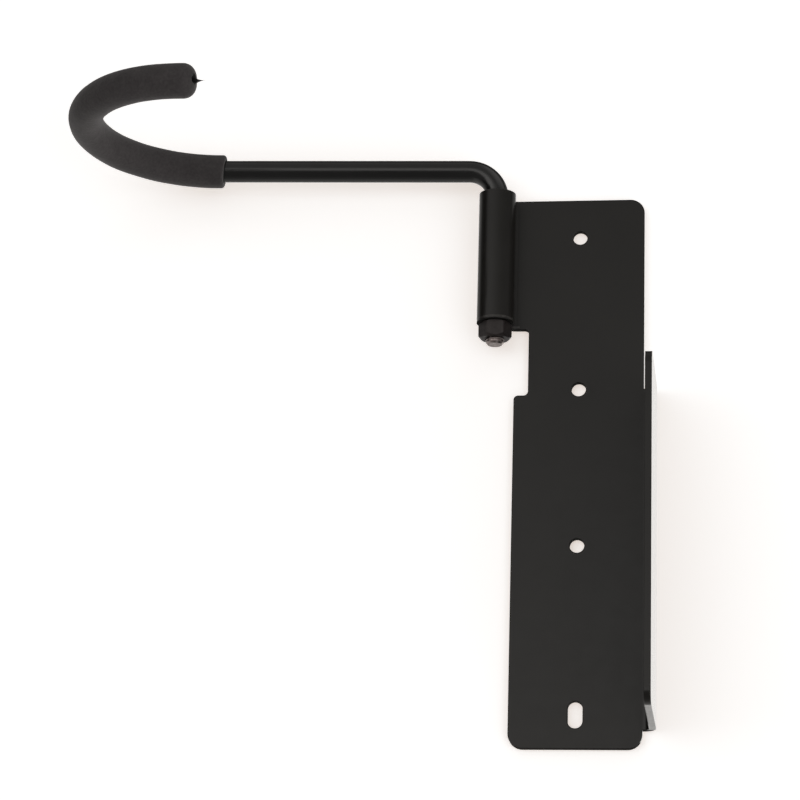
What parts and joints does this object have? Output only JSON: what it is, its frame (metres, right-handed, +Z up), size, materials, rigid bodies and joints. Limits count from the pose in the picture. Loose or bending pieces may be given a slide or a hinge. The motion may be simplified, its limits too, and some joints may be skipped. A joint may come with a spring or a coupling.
{
  "type": "bicycle wall rack",
  "caption": "Flat steel wall plate with a side flange and a rolled eye that carries a swinging hook rod with a foam sleeve, held by a lock nut, for hanging a bicycle by a wheel.",
  "frame": {"origin": "centre of the wall plate's back face, on the wall plane", "axes": "+Z up along the plate, +Y into the wall, +X to the side of the flange; the room is towards -Y"},
  "size_m": [0.2602, 0.1226, 0.2769],
  "materials": {
    "powder_coat": "satin black powder coat",
    "rod_coat": "semi-gloss black coat, bare at the thread's end",
    "foam": "matt black closed-cell foam",
    "nut_steel": "blackened steel",
    "nylon": "dark nylon"
  },
  "bodies": {
    "plate": {"wall_plate": "powder_coat"},
    "hook": {"hook_rod": "rod_coat", "hook_sleeve": "foam", "lock_nut": "nut_steel", "nut_insert": "nylon"}
  },
  "joints": [
    {"name": "hook_swing", "type": "hinge", "parent": "plate", "child": "hook", "pos_m": [-0.0373, -0.0115, 0.096], "axis": [0, 0, 1], "range_deg": [0, 140]}
  ]
}
